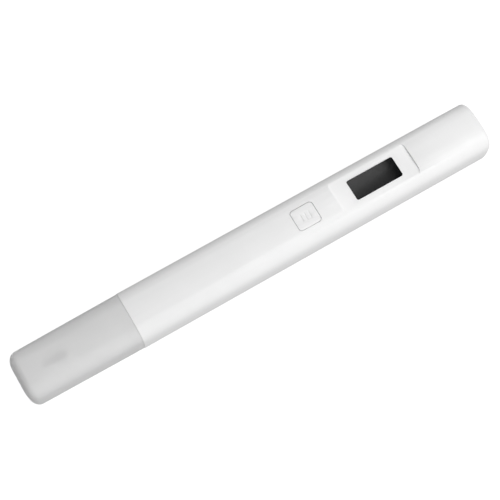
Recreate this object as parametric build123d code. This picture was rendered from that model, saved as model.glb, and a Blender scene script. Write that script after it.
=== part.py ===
from build123d import *
import math
import os

# Pen-type water meter that reads total dissolved solids. It lies on its flat back:
# cap towards -X, tail towards +X, display and button facing +Z.
# Stations along the pen are counted in millimetres from the tip of the cap, and each
# finished piece is moved back by half the length, so the origin is under the middle.

# Button cells, and the walls round them that set how thick the pen is
CELL_COUNT = 2
CELL_D = 11.6
CELL_T = 5.4
CELL_CAP_D = 9.6
CELL_CAP_H = 0.35
CELL_CLEAR = 0.05
CRADLE_WALL = 0.75
SLIDE_CLEAR = 0.1
SHELL_WALL = 1.4
SIZE = CELL_D + 2 * (CELL_CLEAR + CRADLE_WALL + SLIDE_CLEAR + SHELL_WALL)
AXIS_Z = SIZE / 2

# Outline of the pen seen along its length
SIDE_R = 36.0
CORNER_R = 5.2

# Overall lengths
CAP_LENGTH = 34.6
SEAM_GAP = 0.15
SHELL_LENGTH = 115.45
FRONT = CAP_LENGTH + SEAM_GAP
TAIL = FRONT + SHELL_LENGTH

# Protective cap, drafted towards its tip
CAP_MOUTH_INSET = 0.1
CAP_DRAFT = 0.5
CAP_WALL = 1.25
CAP_TIP_WALL = 1.5
CAP_TIP_DEPTH = 2.9
CAP_TIP_WIDTH = 3.7
CAP_TIP_STEPS = 4

# Insets of what fits inside the shell, counted from the pen's outline
FIT_INSET = SHELL_WALL + SLIDE_CLEAR
NECK_CLEAR = 0.25
NECK_INSET = CAP_MOUTH_INSET + CAP_WALL + NECK_CLEAR

# Square-cut seal rings, each in a groove and standing slightly proud of it
SEAL_W = 1.0
SEAL_DEPTH = 0.9
SEAL_PROUD = 0.05
SEAL_GROOVE_CLEAR = 0.05

# Probe head
PROBE_TIP_STATION = 4.75
PROBE_WIDTH = 11.0
PROBE_CHAMFER = 0.8
PROBE_SLOT_L = 7.6
PROBE_SLOT_W = 2.6
PROBE_NOSE = 2.95
PROBE_CORE_WALL = 4.7
PROBE_SIDE_WALL = 0.9
VENT_D = 1.5
NECK_LENGTH = 8.6
SHOULDER_LENGTH = 2.0
GRIP_RIB_L = 4.0
GRIP_RIB_H = 0.8
GRIP_RIB_PITCH = 3.2
GRIP_RIB_BACK = 4.6
GRIP_RIB_CLEAR = 0.1
FLANGE_T = 1.0
FLANGE_LAP = 0.5
HEAD_PLUG_LENGTH = 8.25
SNAP_BACK = 1.2
SNAP_LENGTH = 1.8
SNAP_HEIGHT = 3.4
SNAP_PROUD = 0.55
SNAP_CLEAR = 0.12

# Titanium pins and the temperature sensor
PIN_D = 1.0
PIN_BORE_CLEAR = 0.04
PIN_REACH = 5.4
PIN_SOLDER_LENGTH = 3.4
SENSOR_D = 1.7
SENSOR_L = 3.2
SENSOR_SIDE = 3.15
SENSOR_FRONT_WALL = 2.6
SENSOR_WIRE = 0.3

# Circuit board, on the pen's axis
BOARD_T = 1.0
BOARD_CLEAR = 0.05
BOARD_LIP = 0.55
BOARD_TONGUE_W = 8.0
BOARD_TONGUE_CLEAR = 1.0
BOARD_END_CLEAR = 0.3
BOARD_TOP = AXIS_Z + BOARD_T / 2
BOARD_BOTTOM = AXIS_Z - BOARD_T / 2
BOARD_W = 2 * (SIZE / 2 - FIT_INSET - BOARD_LIP - BOARD_CLEAR)

# Battery bay, measured forwards from the tail
PLUG_LENGTH = 7.9
STRIP_T = 0.25
CONTACT_GAP = 0.05
SPRING_LENGTH = 4.7
SPRING_PLATE_T = 0.3
BULKHEAD_T = 1.4
PLUG_FACE = TAIL - PLUG_LENGTH
CELLS_END = PLUG_FACE - STRIP_T - CONTACT_GAP
CELL_PITCH = CELL_T + CONTACT_GAP
CELLS_START = CELLS_END - CELL_COUNT * CELL_PITCH + CONTACT_GAP
BULKHEAD_REAR = CELLS_START - SPRING_LENGTH - 2 * CONTACT_GAP - SPRING_PLATE_T
BULKHEAD_FRONT = BULKHEAD_REAR - BULKHEAD_T

# Display: window, lens and glass panel
WINDOW_L = 15.4
WINDOW_W = 6.52
WINDOW_R = 0.6
LENS_GAP = 0.06
LENS_SINK = 0.05
LENS_LAP = 1.4
LENS_FLANGE_T = 0.8
GASKET_T = 0.15
GASKET_SETBACK = 0.3
SEAT_CLEAR = 0.2
LCD_L = 18.4
LCD_W = 9.0
LCD_T = 1.6
LCD_GAP = 0.1
LCD_CLEAR = 0.1
LCD_LEDGE = 0.9
POLARISER_T = 0.2
POLARISER_SETBACK = 0.7
ZEBRA_L = 16.8
ZEBRA_T = 1.2
ZEBRA_Y = 3.7
DISPLAY_END_WALL = 0.75
DISPLAY_END_CLEAR = 0.15
DISPLAY_FRAME_END = BULKHEAD_FRONT - DISPLAY_END_CLEAR
WINDOW_X = DISPLAY_FRAME_END - DISPLAY_END_WALL - LCD_CLEAR - LCD_L / 2

# Flat milled into the crowned face round the window
RECESS_L = 25.7
RECESS_W = 10.4
RECESS_R = 1.5
RECESS_DEPTH = 0.65
RECESS_SHIFT = 0.25
RECESS_X = WINDOW_X - RECESS_SHIFT
RECESS_Z = SIZE - RECESS_DEPTH

# Push button
BUTTON_SPACING = 23.1
BUTTON_X = WINDOW_X - BUTTON_SPACING
BUTTON_HOLE_L = 7.4
BUTTON_HOLE_W = 6.65
BUTTON_R = 1.1
BUTTON_GAP = 0.14
BUTTON_SINK = 0.05
BUTTON_TRAVEL = 0.35
BUTTON_TOP_WALL = 1.2
BUTTON_SIDE_WALL = 0.8
BUTTON_FLANGE_LAP = 0.9
BUTTON_FLANGE_T = 0.7
BUTTON_POST_D = 3.0
BUTTON_RIB_T = 0.6
RIPPLE_COUNT = 3
RIPPLE_PITCH = 1.3
RIPPLE_L = 2.4
RIPPLE_W = 0.5
RIPPLE_DEPTH = 0.12
FLANGE_GAP = 0.05
SEAL_T = 0.8
SEAL_HOLE_CLEAR = 0.3
SEAL_MARGIN = 0.6

# Heights of the stack under the face
SEAT_Z = SIZE - SHELL_WALL
LENS_FLANGE_TOP = SEAT_Z - GASKET_T
LENS_BACK = LENS_FLANGE_TOP - LENS_FLANGE_T
LCD_TOP = LENS_BACK - LCD_GAP
LCD_BACK = LCD_TOP - LCD_T
BUTTON_FLANGE_TOP = SEAT_Z - FLANGE_GAP
BUTTON_FLANGE_BACK = BUTTON_FLANGE_TOP - BUTTON_FLANGE_T
BUTTON_SEAL_TOP = BUTTON_FLANGE_BACK - BUTTON_TRAVEL - FLANGE_GAP
DECK_Z = BUTTON_SEAL_TOP - SEAL_T

# Tactile switch under the button
SWITCH_W = 4.5
SWITCH_H = 3.4
SWITCH_SPAN = 6.0
SWITCH_WELL_CLEAR = 0.25
PLUNGER_D = 2.3
PLUNGER_CLEAR = 0.08
PLUNGER_PROUD = 1.2
PLUNGER_SUNK = 0.4
PLUNGER_TOP = BOARD_TOP + SWITCH_H + PLUNGER_PROUD
LEG_T = 0.2
LEG_W = 0.7

# Display frame: carries glass, contact strips and button seal on the board
DECK_REACH = 6.2
BRIDGE_H = 1.6
PEG_W = 1.1
PEG_CLEAR = 0.05
PEG_Y = 4.4
PEG_INSET = 1.4
PEG_PROUD = 0.4
ZEBRA_CLEAR = 0.1
SPINE_T = 0.8

# Inner frame: tray under the board, and the bulkhead of the battery bay
FRAME_CLEAR = 0.25
FRAME_WALL = 1.0
LIP_H = 1.0
RIB_T = 0.8
RIB_H = 1.6
RIB_PITCH = 13.0
FLOOR_WINDOW_L = 6.0
FLOOR_WINDOW_W = 4.0
BOSS_W = 3.6

# Board screws
SCREW_D = 1.4
SCREW_HEAD_D = 2.6
SCREW_HEAD_H = 0.9
SCREW_SLOT_L = 1.5
SCREW_SLOT_W = 0.4
SCREW_SLOT_DEPTH = 0.45
SCREW_REACH = 3.6
SCREW_CLEAR = 0.05
SCREW_FRONT = 8.9
SCREW_BRIDGE = 9.0

# Battery carrier: end plug and cradle
CARRIER_GAP = 0.9
CRADLE_RIM = 1.5
COLLAR_L = 1.4
SPRING_ROOM_R = 4.5
PLUG_SEAL_FROM_TAIL = 4.2
PULL_SCOOP_R = 3.0
PULL_SCOOP_DEPTH = 0.9
PULL_SCOOP_W = 8.0
PUSH_HOLE_L = 7.0
PUSH_HOLE_W = 4.0
STRIP_W = 3.0
STRIP_FOLD = 1.9
STRIP_PAD_D = 8.0
STRIP_CLEAR = 0.05

# Contacts on the bulkhead
SPRING_PLATE_D = 8.4
SPRING_WIRE = 0.45
SPRING_WIRE_SIDES = 4
SPRING_BASE_R = 3.6
SPRING_TURNS = 2.4
SPRING_CONE = 22.0
TAB_W = 1.0
TAB_T = 0.3
TAB_REACH = 2.4
TAB_SLOT_CLEAR = 0.1
NEGATIVE_TAB_Y = 2.0
POSITIVE_PAD_W = 1.7
DIMPLE_R = 0.5

# Shell details
SHELL_TAIL_R = 1.1
TAIL_STEPS = 3

# Parts on the board
CHIP_L = 9.9
CHIP_W = 3.9
CHIP_H = 1.5
CHIP_SPAN = 6.0
CHIP_LEGS = 6
CHIP_LEG_PITCH = 1.27
CHIP_LEG_W = 0.4
CHIP_LIFT = 0.15
PART_GAP = 0.45
CRYSTAL_L = 5.0
CRYSTAL_W = 3.2
CRYSTAL_H = 1.1
SMALL_PART_L = 1.6
SMALL_PART_W = 0.8
SMALL_PART_H = 0.55
SMALL_PART_PITCH = 2.2
SMALL_PART_COUNT = 5
SMALL_PART_CLEAR = 0.9


def pen_section(inset=0.0):
    """Outline of the pen in its own Y-Z plane, drawn inset by the same amount all round.

    A flat back, three sides crowned to SIDE_R and round corners. The arcs keep their
    centres at every inset, so two insets make a wall of even thickness.
    """
    half = SIZE / 2
    shift = SIDE_R - half
    radius = SIDE_R - inset
    front = (math.sqrt(2 * radius**2 - shift**2) - shift) / 2
    back = math.sqrt(radius**2 - (half - inset) ** 2) - shift
    mid = half - inset
    high = half + front
    outline = Curve() + [
        Line((-back, inset), (back, inset)),
        ThreePointArc((back, inset), (mid, half), (front, high)),
        ThreePointArc((front, high), (0, SIZE - inset), (-front, high)),
        ThreePointArc((-front, high), (-mid, half), (-back, inset)),
    ]
    face = make_face(outline)
    return fillet(face.vertices(), CORNER_R - inset)


def bar(inset, start, end):
    """Length of the pen's own outline, inset, from one station to another."""
    return extrude(Plane.YZ.offset(start) * pen_section(inset), end - start)


def taper(inset_start, start, inset_end, end):
    """The pen's outline changing evenly from one inset to another."""
    first = Plane.YZ.offset(start) * pen_section(inset_start)
    last = Plane.YZ.offset(end) * pen_section(inset_end)
    return loft([first, last])


def rounded_end(inset, tip, depth, width, steps):
    """Narrow bands that carry the outline round a quarter of an ellipse, ending at the tip.

    Depth is counted along the pen and is negative for an end that faces the cap; width is
    how far the outline has drawn in at the tip.
    """
    bands = []
    for step in range(steps):
        turns = [math.radians(90 * (step + end) / steps) for end in (0, 1)]
        insets = [inset + width * (1 - math.cos(turn)) for turn in turns]
        stations = [tip - depth * (1 - math.sin(turn)) for turn in turns]
        bands.append(taper(insets[0], stations[0], insets[1], stations[1]))
    return bands


def plate(sketch, low, high):
    """A plan outline raised from one height to another."""
    return extrude(Plane.XY.offset(low) * sketch, high - low)


def block(x, y, z):
    """A box from pairs of limits along X, Y and Z."""
    sketch = Pos((x[0] + x[1]) / 2, (y[0] + y[1]) / 2) * Rectangle(x[1] - x[0], y[1] - y[0])
    return plate(sketch, z[0], z[1])


def group(pieces):
    """Separate pieces kept as one node."""
    return Compound([solid for piece in pieces for solid in piece.solids()])


def rod(radius, start, end, y=0.0, z=AXIS_Z):
    """Round bar along the pen between two stations."""
    return extrude(Plane.YZ.offset(start) * Pos(y, z) * Circle(radius), end - start)


def seal_ring(surface_inset, station):
    """Square-cut silicone ring that stands SEAL_PROUD above a surface at the given inset."""
    outer_inset = surface_inset - SEAL_PROUD
    start = station - SEAL_W / 2
    end = station + SEAL_W / 2
    return bar(outer_inset, start, end) - bar(outer_inset + SEAL_DEPTH, start, end)


def seal_groove(surface_inset, station):
    """Groove for a seal ring, cut down from a surface at the given inset."""
    start = station - SEAL_W / 2 - SEAL_GROOVE_CLEAR
    end = station + SEAL_W / 2 + SEAL_GROOVE_CLEAR
    floor_inset = surface_inset - SEAL_PROUD + SEAL_DEPTH + SEAL_GROOVE_CLEAR
    return bar(surface_inset, start, end) - bar(floor_inset, start, end)


PROBE_INSET = (SIZE - PROBE_WIDTH) / 2
NECK_START = FRONT - NECK_LENGTH
SLOT_START = PROBE_TIP_STATION + PROBE_NOSE
SLOT_END = SLOT_START + PROBE_SLOT_L
CORE_START = SLOT_END + PROBE_CORE_WALL
HEAD_REAR = FRONT + FLANGE_T + HEAD_PLUG_LENGTH
FLANGE_INSET = CAP_MOUTH_INSET + CAP_WALL - FLANGE_LAP
PIN_OFFSET = BOARD_T / 2 + PIN_D / 2
CORE_HALF = PROBE_WIDTH / 2 - PROBE_SIDE_WALL
FRAME_START = HEAD_REAR + FRAME_CLEAR
BOARD_START = FRAME_START + FRAME_WALL + BOARD_END_CLEAR
BOARD_END = BULKHEAD_FRONT - BOARD_END_CLEAR
CARRIER_FRONT = BULKHEAD_REAR + CARRIER_GAP
SCREW_STATIONS = [HEAD_REAR + SCREW_FRONT, BUTTON_X + SCREW_BRIDGE]
CHIP_X = SCREW_STATIONS[0] + SCREW_HEAD_D / 2 + PART_GAP + CHIP_L / 2
CRYSTAL_X = SCREW_STATIONS[0] - SCREW_HEAD_D / 2 - PART_GAP - CRYSTAL_L / 2
PEG_STATIONS = [
    BUTTON_X - DECK_REACH + PEG_INSET,
    WINDOW_X - LCD_L / 2 - LCD_CLEAR - DISPLAY_END_WALL - PEG_INSET,
]


def cap():
    """Frosted cap: a drafted shell whose tip is rounded in narrow bands."""
    tip_inset = CAP_MOUTH_INSET + CAP_LENGTH * math.tan(math.radians(CAP_DRAFT))
    outside = taper(tip_inset, CAP_TIP_DEPTH, CAP_MOUTH_INSET, CAP_LENGTH)
    outside = outside + rounded_end(tip_inset, 0, -CAP_TIP_DEPTH, CAP_TIP_WIDTH, CAP_TIP_STEPS)
    inside = taper(tip_inset + CAP_WALL, CAP_TIP_WALL, CAP_MOUTH_INSET + CAP_WALL, CAP_LENGTH)
    return outside - inside


def snap_lugs(grow):
    """Pair of wedge lugs that hold the probe head in the shell, grown for the pockets."""
    start = HEAD_REAR - SNAP_BACK - SNAP_LENGTH
    surface = SIZE / 2 - FIT_INSET
    root = surface - FRAME_WALL / 2
    wedge = Polyline(
        (start - grow, root),
        (start - grow, surface + SNAP_PROUD + grow),
        (start + SNAP_LENGTH / 3 + grow, surface + SNAP_PROUD + grow),
        (start + SNAP_LENGTH + grow, surface + grow),
        (start + SNAP_LENGTH + grow, root),
        close=True,
    )
    half = SNAP_HEIGHT / 2 + grow
    lug = plate(make_face(wedge), AXIS_Z - half, AXIS_Z + half)
    return lug + mirror(lug, about=Plane.XZ)


def grip_ribs():
    """Two low ribs on each side of the neck, just clear of the cap's wall, that hold it on."""
    reach = (FRONT - GRIP_RIB_BACK - GRIP_RIB_L / 2, FRONT - GRIP_RIB_BACK + GRIP_RIB_L / 2)
    surface = SIZE / 2 - NECK_INSET + NECK_CLEAR - GRIP_RIB_CLEAR
    ribs = []
    for z in (AXIS_Z - GRIP_RIB_PITCH / 2, AXIS_Z + GRIP_RIB_PITCH / 2):
        ribs.append(block(reach, (-surface, surface), (z - GRIP_RIB_H / 2, z + GRIP_RIB_H / 2)))
    return [rib & bar(NECK_INSET - NECK_CLEAR + GRIP_RIB_CLEAR, *reach) for rib in ribs]


def main_shell():
    """One-piece tube with recess, window, button opening and the seats inside them."""
    tube = bar(0, FRONT, TAIL - SHELL_TAIL_R)
    tube += rounded_end(0, TAIL, SHELL_TAIL_R, SHELL_TAIL_R, TAIL_STEPS)
    tube -= bar(SHELL_WALL, FRONT, TAIL)
    tube -= bar(FLANGE_INSET - SLIDE_CLEAR, FRONT, FRONT + FLANGE_T)
    tube -= snap_lugs(SNAP_CLEAR)
    recess = Pos(RECESS_X, 0) * RectangleRounded(RECESS_L, RECESS_W, RECESS_R)
    tube -= plate(recess, RECESS_Z, SIZE)
    window = Pos(WINDOW_X, 0) * RectangleRounded(WINDOW_L, WINDOW_W, WINDOW_R)
    tube -= plate(window, AXIS_Z, SIZE)
    tube -= plate(lens_outline(SEAT_CLEAR), AXIS_Z, SEAT_Z)
    hole = Pos(BUTTON_X, 0) * RectangleRounded(BUTTON_HOLE_L, BUTTON_HOLE_W, BUTTON_R)
    tube -= plate(hole, AXIS_Z, SIZE)
    tube -= plate(button_flange_outline(SEAT_CLEAR), AXIS_Z, SEAT_Z)
    return tube


def lens_outline(grow=0.0):
    """Plan outline of the lens flange."""
    length = WINDOW_L + 2 * (LENS_LAP + grow)
    width = WINDOW_W + 2 * (LENS_LAP + grow)
    return Pos(WINDOW_X, 0) * Rectangle(length, width)


def window_lens():
    """Clear pane: a boss that fills the window on a wider flange behind the wall."""
    flange = plate(lens_outline(), LENS_BACK, LENS_FLANGE_TOP)
    opening = RectangleRounded(WINDOW_L - 2 * LENS_GAP, WINDOW_W - 2 * LENS_GAP, WINDOW_R)
    boss = plate(Pos(WINDOW_X, 0) * opening, LENS_FLANGE_TOP, RECESS_Z - LENS_SINK)
    return flange + boss


def window_gasket():
    """Thin adhesive frame between the lens flange and the shell."""
    inner_l = WINDOW_L + 2 * GASKET_SETBACK
    inner_w = WINDOW_W + 2 * GASKET_SETBACK
    inner = Pos(WINDOW_X, 0) * Rectangle(inner_l, inner_w)
    return plate(lens_outline() - inner, LENS_FLANGE_TOP, SEAT_Z)


def lcd_panel():
    """Two glass plates with the upper one shorter across, and a polariser on top."""
    back_glass_t = (LCD_T - POLARISER_T) / 2
    back = plate(Pos(WINDOW_X, 0) * Rectangle(LCD_L, LCD_W), LCD_BACK, LCD_BACK + back_glass_t)
    front_w = LCD_W - POLARISER_SETBACK
    front = plate(
        Pos(WINDOW_X, 0) * Rectangle(LCD_L, front_w), LCD_BACK + back_glass_t, LCD_TOP - POLARISER_T
    )
    film = Pos(WINDOW_X, 0) * Rectangle(LCD_L - POLARISER_SETBACK, front_w - POLARISER_SETBACK)
    return back + front + plate(film, LCD_TOP - POLARISER_T, LCD_TOP)


def zebra_strip(side):
    """Elastomer strip that joins one long edge of the glass to the board."""
    sketch = Pos(WINDOW_X, side * ZEBRA_Y) * Rectangle(ZEBRA_L, ZEBRA_T)
    return plate(sketch, BOARD_TOP, LCD_BACK)


def display_frame():
    """Stepped carrier on the board: deck under the button, bridge, and the display's bed."""
    start = BUTTON_X - DECK_REACH
    deck_end = BUTTON_X + DECK_REACH
    bed_start = WINDOW_X - LCD_L / 2 - LCD_CLEAR - DISPLAY_END_WALL
    profile = Polyline(
        (start, BOARD_TOP),
        (start, DECK_Z),
        (deck_end, DECK_Z),
        (deck_end, BOARD_TOP + BRIDGE_H),
        (bed_start, BOARD_TOP + BRIDGE_H),
        (bed_start, LCD_TOP),
        (DISPLAY_FRAME_END, LCD_TOP),
        (DISPLAY_FRAME_END, BOARD_TOP),
        close=True,
    )
    half = BOARD_W / 2 - BOARD_CLEAR
    frame = extrude(Plane.XZ * make_face(profile), half, both=True)
    frame = frame & bar(FIT_INSET, start, DISPLAY_FRAME_END)
    glass = Rectangle(LCD_L + 2 * LCD_CLEAR, LCD_W + 2 * LCD_CLEAR)
    frame -= plate(Pos(WINDOW_X, 0) * glass, LCD_BACK, LCD_TOP)
    slot = Rectangle(ZEBRA_L + 2 * ZEBRA_CLEAR, ZEBRA_T + 2 * ZEBRA_CLEAR)
    for side in (-1, 1):
        frame -= plate(Pos(WINDOW_X, side * ZEBRA_Y) * slot, BOARD_TOP, LCD_BACK)
    core_w = 2 * (ZEBRA_Y - ZEBRA_T / 2 - ZEBRA_CLEAR - SPINE_T)
    core = Rectangle(LCD_L - 2 * LCD_LEDGE, core_w)
    frame -= plate(Pos(WINDOW_X, 0) * core, BOARD_TOP, LCD_BACK)
    well = SWITCH_SPAN + 2 * SWITCH_WELL_CLEAR
    frame -= plate(Pos(BUTTON_X, 0) * Rectangle(well, well), BOARD_TOP, DECK_Z)
    head = Pos(SCREW_STATIONS[-1], 0) * Circle(SCREW_HEAD_D / 2 + SLIDE_CLEAR)
    frame -= plate(head, BOARD_TOP, BOARD_TOP + BRIDGE_H)
    for station in PEG_STATIONS:
        for side in (-1, 1):
            peg = Pos(station, side * PEG_Y) * Rectangle(PEG_W, PEG_W)
            frame += plate(peg, BOARD_BOTTOM - PEG_PROUD, BOARD_TOP + PEG_PROUD)
    return frame


def main_board():
    """Narrow circuit board with a tongue that reaches into the probe head."""
    body = Pos((BOARD_START + BOARD_END) / 2, 0) * Rectangle(BOARD_END - BOARD_START, BOARD_W)
    body = chamfer(body.vertices(), BOARD_LIP)
    tongue_start = CORE_START + BOARD_TONGUE_CLEAR
    tongue_l = BOARD_START - tongue_start + BOARD_LIP
    tongue = Pos(tongue_start + tongue_l / 2, 0) * Rectangle(tongue_l, BOARD_TONGUE_W)
    outline = body + tongue
    for station in SCREW_STATIONS:
        outline -= Pos(station, 0) * Circle(SCREW_D / 2 + SCREW_CLEAR)
    for station in PEG_STATIONS:
        for side in (-1, 1):
            outline -= Pos(station, side * PEG_Y) * Rectangle(PEG_W + 2 * PEG_CLEAR, PEG_W + 2 * PEG_CLEAR)
    return plate(outline, BOARD_BOTTOM, BOARD_TOP)


def probe_head():
    """Slotted probe tip, neck for the cap, flange and the plug that snaps into the shell."""
    tip = bar(PROBE_INSET, PROBE_TIP_STATION, NECK_START - SHOULDER_LENGTH)
    tip = chamfer(tip.faces().sort_by(Axis.X)[0].edges(), PROBE_CHAMFER)
    neck = bar(NECK_INSET, NECK_START - SHOULDER_LENGTH, FRONT)
    neck = chamfer(neck.faces().sort_by(Axis.X)[0].edges(), SHOULDER_LENGTH, PROBE_INSET - NECK_INSET)
    head = tip + neck
    head += bar(FLANGE_INSET, FRONT, FRONT + FLANGE_T)
    head += bar(FIT_INSET, FRONT + FLANGE_T, HEAD_REAR)
    head += snap_lugs(0)
    head += grip_ribs()
    core = Rectangle(2 * CORE_HALF, 2 * CORE_HALF)
    head -= extrude(Plane.YZ.offset(CORE_START) * Pos(0, AXIS_Z) * core, HEAD_REAR - CORE_START)
    slot = Pos((SLOT_START + SLOT_END) / 2, 0) * SlotOverall(PROBE_SLOT_L, PROBE_SLOT_W)
    head -= plate(slot, 0, SIZE)
    head -= rod(VENT_D / 2, PROBE_TIP_STATION, SLOT_START + PROBE_SLOT_W / 2)
    for side in (-1, 1):
        bore = PIN_D / 2 + PIN_BORE_CLEAR
        head -= rod(bore, SLOT_END - PROBE_SLOT_W, CORE_START, z=AXIS_Z + side * PIN_OFFSET)
    well = PROBE_TIP_STATION + SENSOR_FRONT_WALL
    head -= rod(SENSOR_D / 2 + PIN_BORE_CLEAR, well, CORE_START, y=SENSOR_SIDE)
    return head


def probe_pins():
    """Two titanium pins, soldered to both faces of the board's tongue."""
    nose = SLOT_END - PIN_REACH
    length_end = CORE_START + BOARD_TONGUE_CLEAR + PIN_SOLDER_LENGTH
    pins = []
    for side in (-1, 1):
        pins.append(rod(PIN_D / 2, nose, length_end, z=AXIS_Z + side * PIN_OFFSET))
    return group(pins)


def thermistor():
    """Glass bead in its blind well, with two flat wires that straddle the board's tongue."""
    start = PROBE_TIP_STATION + SENSOR_FRONT_WALL + PIN_BORE_CLEAR
    bead = rod(SENSOR_D / 2, start, start + SENSOR_L, y=SENSOR_SIDE)
    half = SENSOR_WIRE / 2
    reach = (start + SENSOR_L / 2, CORE_START + BOARD_TONGUE_CLEAR + PIN_SOLDER_LENGTH)
    for wire_z in (BOARD_BOTTOM - half, BOARD_TOP + half):
        bead += block(reach, (SENSOR_SIDE - half, SENSOR_SIDE + half), (wire_z - half, wire_z + half))
    return bead


def inner_frame():
    """Ribbed tray that carries the board, closed at the rear by the battery bulkhead."""
    tray = bar(FIT_INSET, FRAME_START, BULKHEAD_REAR)
    reach = (FRAME_START, BULKHEAD_FRONT)
    half = SIZE / 2 - FIT_INSET
    tray -= block(reach, (-half, half), (BOARD_TOP + LIP_H, SIZE))
    board_half = BOARD_W / 2 + BOARD_CLEAR
    tray -= block(reach, (-board_half, board_half), (BOARD_BOTTOM, SIZE))
    trough = bar(FIT_INSET + FRAME_WALL, FRAME_START + FRAME_WALL, BULKHEAD_FRONT)
    tray -= trough & block(reach, (-half, half), (0, BOARD_BOTTOM))
    floor_top = FIT_INSET + FRAME_WALL
    rib_count = int((BULKHEAD_FRONT - FRAME_START) / RIB_PITCH)
    for index in range(1, rib_count + 1):
        station = FRAME_START + index * RIB_PITCH
        rib = bar(FIT_INSET + FRAME_WALL / 2, station - RIB_T / 2, station + RIB_T / 2)
        tray += rib & block(reach, (-half, half), (0, floor_top + RIB_H))
        middle = station - RIB_PITCH / 2
        window = Pos(middle, 0) * Rectangle(FLOOR_WINDOW_L, FLOOR_WINDOW_W)
        if all(abs(middle - s) > (FLOOR_WINDOW_L + BOSS_W) / 2 for s in SCREW_STATIONS):
            tray -= plate(window, 0, floor_top)
    for station in SCREW_STATIONS:
        tray += plate(Pos(station, 0) * Rectangle(BOSS_W, BOSS_W), FIT_INSET + FRAME_WALL / 2, BOARD_BOTTOM)
        pilot = Pos(station, 0) * Circle(SCREW_D / 2 + SCREW_CLEAR)
        tray -= plate(pilot, floor_top, BOARD_BOTTOM)
    for tab_y in (NEGATIVE_TAB_Y, positive_tab_y()):
        tab_half = TAB_W / 2 + TAB_SLOT_CLEAR
        tray -= block(
            (BULKHEAD_FRONT, BULKHEAD_REAR),
            (tab_y - tab_half, tab_y + tab_half),
            (BOARD_BOTTOM - TAB_T - TAB_SLOT_CLEAR, BOARD_BOTTOM + TAB_SLOT_CLEAR),
        )
    return tray


def board_screws():
    """Pan-head screws through the board into the tray's bosses."""
    screws = []
    for station in SCREW_STATIONS:
        head = plate(Pos(station, 0) * Circle(SCREW_HEAD_D / 2), BOARD_TOP, BOARD_TOP + SCREW_HEAD_H)
        slot = Rectangle(SCREW_SLOT_L, SCREW_SLOT_W)
        recess = Pos(station, 0) * (slot + Rot(0, 0, 90) * slot)
        head_top = BOARD_TOP + SCREW_HEAD_H
        head -= plate(recess, head_top - SCREW_SLOT_DEPTH, head_top)
        shank = plate(Pos(station, 0) * Circle(SCREW_D / 2), BOARD_BOTTOM - SCREW_REACH, BOARD_TOP)
        screws.append(head + shank)
    return group(screws)


def tact_switch():
    """Low switch with a round well for its plunger and four bent legs."""
    top = BOARD_TOP + SWITCH_H
    body = Pos(BUTTON_X, 0) * Rectangle(SWITCH_W, SWITCH_W)
    body = plate(chamfer(body.vertices(), SWITCH_W * 0.08), BOARD_TOP, top)
    bore = Pos(BUTTON_X, 0) * Circle(PLUNGER_D / 2 + PLUNGER_CLEAR)
    floor = top - PLUNGER_SUNK - BUTTON_TRAVEL - FLANGE_GAP
    body -= plate(bore, floor, top)
    for side_x in (-1, 1):
        for side_y in (-1, 1):
            x = BUTTON_X + side_x * (SWITCH_W - LEG_W) / 2 * 0.8
            body += leg(x, side_y, SWITCH_W / 2, SWITCH_SPAN / 2, SWITCH_H / 2, LEG_W)
    return body


def leg(x, side, root, reach, height, width):
    """Bent leg of a board part: out of the body, down, and flat on the board."""
    knee = (root + reach) / 2
    points = [
        (side * (root - LEG_T), BOARD_TOP + height),
        (side * (knee + LEG_T / 2), BOARD_TOP + height),
        (side * (knee + LEG_T / 2), BOARD_TOP + LEG_T),
        (side * reach, BOARD_TOP + LEG_T),
        (side * reach, BOARD_TOP),
        (side * (knee - LEG_T / 2), BOARD_TOP),
        (side * (knee - LEG_T / 2), BOARD_TOP + height - LEG_T),
        (side * (root - LEG_T), BOARD_TOP + height - LEG_T),
    ]
    outline = make_face(Polyline(*points, close=True))
    return extrude(Plane.YZ.offset(x - width / 2) * outline, width)


def switch_plunger():
    """Round plunger that the button's post pushes into the switch."""
    base = BOARD_TOP + SWITCH_H - PLUNGER_SUNK
    pin = plate(Pos(BUTTON_X, 0) * Circle(PLUNGER_D / 2), base, PLUNGER_TOP)
    return pin


def button_flange_outline(grow=0.0):
    """Plan outline of the lip that keeps the button inside the shell."""
    length = BUTTON_HOLE_L + 2 * (BUTTON_FLANGE_LAP + grow)
    width = BUTTON_HOLE_W + 2 * (BUTTON_FLANGE_LAP + grow)
    return Pos(BUTTON_X, 0) * Rectangle(length, width)


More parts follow.
